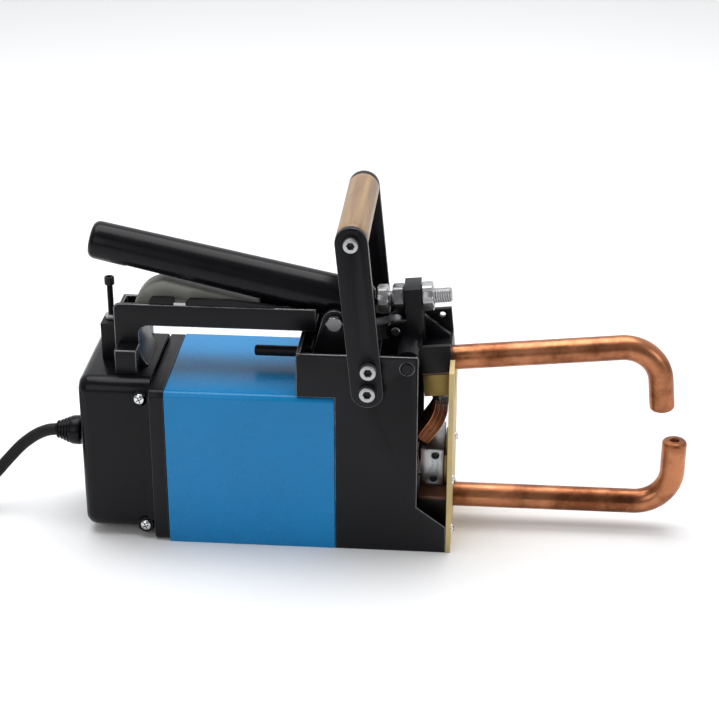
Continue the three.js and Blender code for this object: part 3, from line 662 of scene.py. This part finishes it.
def tower():
    for node in ("side_plate_near", "side_plate_far", "tower_deck", "pivot_bracket", "carry_arm_near",
                 "carry_arm_far"):
        # their rounded edges take the lighter metallic grey, a painted highlight
        rounded(node, 0.45, 2, edge=EDGE_HIGHLIGHT)
    cap_screws()
    wooden_grip()
    lever_pin()
    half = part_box("rocker_pivot_pin")[1].y / MM
    at = pivot("rocker_pivot")
    turned_piece("rocker_pin", [(-half, 3.2), (-half + 0.6, 4), (half - 0.6, 4), (half, 3.2)],
                 along((0, 1, 0), at), HOUSING, "black_paint", ["rocker_pivot_pin"])
    rear, front = (c.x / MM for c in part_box("stub_rod"))
    turned_piece("cable_stub", [(rear, 2.6), (rear + 0.5, 3.2), (rear + 1.4, 3.5), (front, 3.5)],
                 along((1, 0, 0), (0, 0, STUB_Z)), HOUSING, "black_rubber", ["stub_rod"])
    torsion_spring()


def lever_pin():
    """The lever's pivot: a plain shank with a hexagon head at one end and a nut at the other."""
    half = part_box("lever_pivot_pin")[1].y / MM
    inner = half - 3.4
    bm = bmesh.new()
    at = along((0, 1, 0), pivot("lever_pivot"))
    head = hexagon(5.5, 5.3)
    turned(bm, [(-half, flat(4.4)), (-half + 0.5, head), (-inner, head), (-inner + 0.01, flat(4)),
                (inner - 0.01, flat(4)), (inner, head), (half - 0.5, head), (half, flat(4.4))], at)
    show(bm, "lever_pivot_bolt", HOUSING, LOOK["steel"], ["lever_pivot_pin"], smooth=28)


def torsion_spring():
    low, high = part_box("return_spring")
    wire, coil, turns = 0.42, 5.9, 3
    at = pivot("lever_pivot")
    start, end = low.y / MM + wire, high.y / MM - wire
    count = 44 * turns
    path = []
    for k in range(count + 1):
        angle = 2 * pi * turns * k / count
        across = start + (end - start) * k / count
        path.append(Vector((at.x + coil * cos(angle), across, at.z + coil * sin(angle))))
    show(sweep(bmesh.new(), path, [wire] * len(path), 12), "torsion_spring", HOUSING, LOOK["steel"],
         ["return_spring"])


# ---------------------------------------------------------------- front end
def front_end():
    rounded("front_board", 0.25, 2)
    rounded("shunt_terminal", 0.5, 2)
    rounded("contact_strip", 0.2, 2)
    rounded("insulating_shelf", 0.3, 2)
    rounded("lower_clamp", 0.5, 2)
    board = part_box("front_board")[1].x / MM
    screws("board_screws", [(board, y, z) for y in (-30, 30) for z in (9, 45)], (1, 0, 0), 3.4, 1.7)
    shunt()


def shunt():
    """Thin copper leaves that fan out at the bow, between the terminal and the brass clamp."""
    path = smooth_path([(79.5, 0, 64.2), (82.5, 0, 68.5), (88.5, 0, 78), (91.3, 0, 86), (91.6, 0, 91.5)], 6)
    leaves, half_leaf, half_width, stack = 7, 0.3, 15, 7.4
    for number in range(leaves):
        bm = bmesh.new()
        share = number / (leaves - 1) - 0.5
        rows = []
        for k, point in enumerate(path):
            before, after = path[max(k - 1, 0)], path[min(k + 1, len(path) - 1)]
            tangent = (after - before).normalized()
            out = Vector((tangent.z, 0, -tangent.x))
            fan = stack + 0.8 * sin(pi * k / (len(path) - 1))
            middle = point + out * share * fan
            rows.append([bm.verts.new(middle + out * s * half_leaf + Vector((0, y, 0)))
                         for s, y in ((-1, -half_width), (1, -half_width), (1, half_width), (-1, half_width))])
        bm.faces.new(rows[0][::-1])
        bm.faces.new(rows[-1])
        for low, high in zip(rows, rows[1:]):
            for i in range(4):
                j = (i + 1) % 4
                bm.faces.new((low[i], low[j], high[j], high[i]))
        look = TARNISHED if number % 2 else LOOK["copper"]
        leaf = show(bm, f"shunt_leaf_{number + 1}", None, look, ["flexible_shunt"])
        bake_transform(leaf)


# ---------------------------------------------------------------- electrode arms
def arm_path(rear, leg_x, axis_z, tip_z):
    """Straight along X, a quarter bend, and a straight leg to the tip."""
    turn = 1 if tip_z > axis_z else -1
    bend_x = leg_x - BEND_RADIUS
    points = [Vector((rear + d, 0, axis_z)) for d in (0, 0.5, 1.4)]
    straight = 12
    start = rear + 1.4
    points += [Vector((start + (bend_x - rear - 1.4) * k / straight, 0, axis_z)) for k in range(1, straight)]
    for k in range(25):
        angle = pi / 2 * k / 24
        rise = turn * BEND_RADIUS * (1 - cos(angle))
        points.append(Vector((bend_x + BEND_RADIUS * sin(angle), 0, axis_z + rise)))
    leg = axis_z + turn * BEND_RADIUS
    end = tip_z - turn * 3
    points += [Vector((leg_x, 0, leg + (end - leg) * k / 5)) for k in range(1, 6)]
    points += [Vector((leg_x, 0, tip_z - turn * back)) for back in (2.2, 1.4, 0.7, 0.25, 0)]
    radii = [ARM_RADIUS - 1.2, ARM_RADIUS - 0.4, *[ARM_RADIUS] * (len(points) - 7)]
    return points, radii + [7.95, 7.7, 7.1, 6.3, 5.4]


def electrode(name, node, body, matrix, path, radii, recess):
    points = [matrix @ p for p in path]
    if recess:
        inward = (points[-2] - points[-1]).normalized()
        tip = points[-1]
        points += [tip + inward * d for d in (0.02, 0.4, 2.2)]
        radii = [*radii, 3.2, 2.9, 2.7]
    bm = sweep_along(points, radii, path, matrix, recess)
    show(bm, name, body, LOOK["copper"], [node])


def sweep_along(points, radii, path, matrix, recess):
    """Sweeps the rod; a recess in its tip turns back inside, so its rings keep the tip's direction."""
    if not recess:
        return sweep(bmesh.new(), points, radii, 64)
    bm = bmesh.new()
    sides = 64
    outer = len(path)
    loops = []
    normal = Vector((0, 1, 0))
    for i, point in enumerate(points):
        k = min(i, outer - 1)
        tangent = (matrix.to_3x3() @ (path[min(k + 1, outer - 1)] - path[max(k - 1, 0)])).normalized()
        side = tangent.cross(normal)
        angles = [2 * pi * n / sides for n in range(sides)]
        loops.append([bm.verts.new(point + radii[i] * (cos(a) * normal + sin(a) * side)) for a in angles])
    bm.faces.new(loops[0][::-1])
    bm.faces.new(loops[-1])
    for low, high in zip(loops, loops[1:]):
        for n in range(sides):
            j = (n + 1) % sides
            bm.faces.new((low[n], low[j], high[j], high[n]))
    return bm


def electrodes():
    low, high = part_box("lower_arm")
    path, radii = arm_path(low.x / MM, high.x / MM - ARM_RADIUS, LOWER_ARM_Z, high.z / MM)
    electrode("lower_electrode", "lower_arm", "lower_arm", Matrix(), path, radii, True)
    path, radii = arm_path(6, 156.2, -15, -60)  # in the rocker's frame
    electrode("upper_electrode", "upper_arm", "upper_arm", ROCKER, path, radii, False)


# ---------------------------------------------------------------- fixed handle and lever
def fixed_handle():
    for node in ("handle_frame", "foot_lug_near", "foot_lug_far", "stop_block"):
        # their rounded edges take the lighter metallic grey, a painted highlight
        rounded(node, 0.7, 3, edge=EDGE_HIGHLIGHT)
    rounded("pad_rear", 0.6, 3)
    rounded("pad_front", 0.6, 3)
    rounded("switch_housing", 2.2, 5)
    rounded("microswitch", 0.3, 2)
    low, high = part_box("stop_lock_nut")
    middle = (low + high) / (2 * MM)
    bm = bmesh.new()
    hexed = hexagon(4.05, 3.9)
    bottom, top = low.z / MM, high.z / MM
    turned(bm, [(bottom, flat(3.4)), (bottom + 0.4, hexed), (top - 0.4, hexed), (top, flat(3.4))],
           Matrix.Translation((middle.x, 0, 0)))
    show(bm, "lock_nut", HOUSING, LOOK["zinc"], ["stop_lock_nut"], smooth=28)
    clip = bmesh.new()
    block(clip, (-78, -17.4, 155.2), (-70.5, -11.5, 157.0))
    show(clip, "cheek_clip", HOUSING, LOOK["zinc"])


def stop_screw():
    low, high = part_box("stop_screw")
    at = (low + high) / (2 * MM)
    bottom, top = low.z / MM, high.z / MM
    bm = bmesh.new()
    pitch, steps = 0.7, 6
    count = int((top - 6 - bottom) / pitch * steps)
    rings = [(bottom, flat(1.5))]
    for height in [k * pitch / steps for k in range(count)]:
        rings.append((bottom + 0.3 + height, thread(2, 0.35, pitch, height)))
    turned(bm, [*rings, (top - 5.2, flat(1.9))], Matrix.Translation((at.x, 0, 0)), 24)
    socket_screw(bm, (at.x, 0, top - 5), (0, 0, 1), 3.2, 5)
    show(bm, "stop_screw_threaded", "stop_screw", LOOK["black_paint"], ["stop_screw"],
         RECESS_SHADE)
    low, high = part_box("switch_plunger")
    middle = (low + high) / (2 * MM)
    top = high.z / MM
    turned_piece("plunger_button", [(low.z / MM, 2), (top - 0.8, 2), (top - 0.25, 1.6), (top, 0.8)],
                 Matrix.Translation((middle.x, 0, 0)), "switch_plunger", "black_rubber",
                 ["switch_plunger"], sides=32)


def squeeze_lever():
    """The lever's round shell, hollowed underneath as its CAD solid is, on its two cheeks."""
    rear, nose, axis_z, rear_r, front_r = -162, 22, 8.4, 12.1, 14

    def radius(x):
        return rear_r + (x - rear) / (nose - rear) * (front_r - rear_r)
    profile = [(rear, 5.5), (rear + 0.15, 7.6), (rear + 0.7, 9.6)]
    for turn in [radians(a) for a in range(30, 91, 12)]:
        profile.append((rear + 5 - 5 * cos(turn), radius(rear + 5) - 5 + 5 * sin(turn)))
    profile += [(x, radius(x)) for x in range(-150, 9, 12)]
    profile += [(14, 13.6), (18, 12.3), (20.5, 10), (22, 5)]
    bm = turned(bmesh.new(), rings_of(profile), LEVER @ along((1, 0, 0), (0, 0, axis_z)), 96)
    shell = raw("lever_shell", bm)
    hollow = bmesh.new()
    block(hollow, (-138, -8.5, axis_z - 20), (-30, 8.5, axis_z + 5), LEVER)
    bmesh.ops.bevel(hollow, geom=hollow.edges, offset=2, segments=3, affect="EDGES")
    bores = bmesh.new()
    turned(bores, rings_of([(-20, 4.3), (20, 4.3)]), LEVER @ along((0, 1, 0), (0, 0, 0)), 48)
    difference(shell, hollow)
    difference(shell, bores)
    settle(shell, "lever", ["lever"])
    cheeks = rounded_copy("lever", "lever_cheeks", box_low=(-30, -11, -40), box_high=(20, 11, axis_z - 6))
    settle(cheeks, "lever")
    pin_piece("link_pin_rear", "lever")


def raw(name, bm):
    """A bmesh in millimetres as an object in metres, not yet tied to a body."""
    bmesh.ops.recalc_face_normals(bm, faces=bm.faces)
    mesh = bpy.data.meshes.new(name)
    bm.to_mesh(mesh)
    bm.free()
    mesh.transform(Matrix.Scale(MM, 4))
    mesh.materials.append(LOOK["black_moulding"])
    piece = bpy.data.objects.new(name, mesh)
    bpy.context.scene.collection.objects.link(piece)
    return piece


def difference(piece, tool_bm, operation="DIFFERENCE"):
    tool = raw("tool", tool_bm)
    modifier = piece.modifiers.new("cut", "BOOLEAN")
    modifier.operation = operation
    modifier.solver = "EXACT"
    modifier.object = tool
    applied(piece)
    bpy.data.objects.remove(tool)


def rounded_copy(node, name, box_low, box_high):
    """The part of a CAD node that lies inside a box of the lever's frame."""
    bm = bmesh.new()
    bm.from_mesh(NODES[node].data)
    bmesh.ops.remove_doubles(bm, verts=bm.verts, dist=0.00001)
    bm.transform(Matrix.Scale(1 / MM, 4))
    copy = raw(name, bm)
    keep = bmesh.new()
    block(keep, box_low, box_high, LEVER)
    difference(copy, keep, "INTERSECT")
    return copy


def pin_piece(node, body):
    low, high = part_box(node)
    middle = (low + high) / (2 * MM)
    half = (high.y - low.y) / (2 * MM)
    turned_piece(node + "_turned", [(-half, 2.4), (-half + 0.5, 3), (half - 0.5, 3), (half, 2.4)],
                 along((0, 1, 0), (middle.x, 0, middle.z)), body, "steel", [node], sides=48)


# ---------------------------------------------------------------- rocker
def rocker():
    # its rounded edges take the lighter metallic grey, a painted highlight
    rounded("rocker_frame", 0.6, 3, edge=EDGE_HIGHLIGHT)
    rounded("brass_clamp", 0.4, 2)
    rounded("clamp_liner", 0.2, 1)
    rounded("clamp_bolt_near", 0.3, 2)
    rounded("clamp_bolt_far", 0.3, 2)
    pin_piece("link_pin_front", "rocker")
    rounded("push_link", 0.5, 3)
    nut("adjusting_nut_rear", -8.5, -1.3, "steel")
    nut("adjusting_nut_front", 9.8, 17, "zinc")
    adjusting_bolt()


def nut(node, x0, x1, slot):
    """A hexagon nut, chamfered at both ends, with its bore."""
    matrix = ROCKER @ along((1, 0, 0), (0, 0, BOLT_Z))
    hexed = hexagon(9.8, 9.4)
    rings = [(x0, flat(8.2)), (x0 + 0.7, hexed), (x1 - 0.7, hexed), (x1, flat(8.2))]
    bm = turned(bmesh.new(), rings, matrix, 72)
    body = raw(node + "_hex", bm)
    difference(body, turned(bmesh.new(), rings_of([(x0 - 1, 5.3), (x1 + 1, 5.3)]), matrix, 48))
    body.data.materials[0] = LOOK[slot]
    settle(body, "rocker", [node], 28)


def adjusting_bolt():
    matrix = ROCKER @ along((1, 0, 0), (0, 0, BOLT_Z))
    pitch, steps, radius = 1.5, 8, 5
    start, end = -11.4, 27.6
    hexed = hexagon(9.8, 9.4)
    rings = [(-18, flat(8.2)), (-17.3, hexed), (-12.1, hexed), (-11.5, flat(8.4)), (start, flat(radius))]
    count = int((end - start) / pitch * steps)
    for height in [k * pitch / steps for k in range(count)]:
        rings.append((start + 0.1 + height, thread(radius, 0.62, pitch, height)))
    rings += [(end + 0.3, flat(4.4)), (28.5, flat(3.9))]
    show(turned(bmesh.new(), rings, matrix, 48), "threaded_bolt", "adjusting_bolt", LOOK["zinc"],
         ["adjusting_bolt"], smooth=28)


# ---------------------------------------------------------------- inside
def inside():
    rounded("transformer_core", 0.4, 2)
    rounded("secondary_bar", 0.6, 2)
    rounded("power_relay", 0.8, 2)
    rounded("primary_coil", 2.0, 3, look=TARNISHED)


floor = studio()
camera()
floor.data.materials.append(floor_finish())
mains_lead()
cable_gland()
casing()
tower()
front_end()
electrodes()
fixed_handle()
stop_screw()
squeeze_lever()
rocker()
inside()
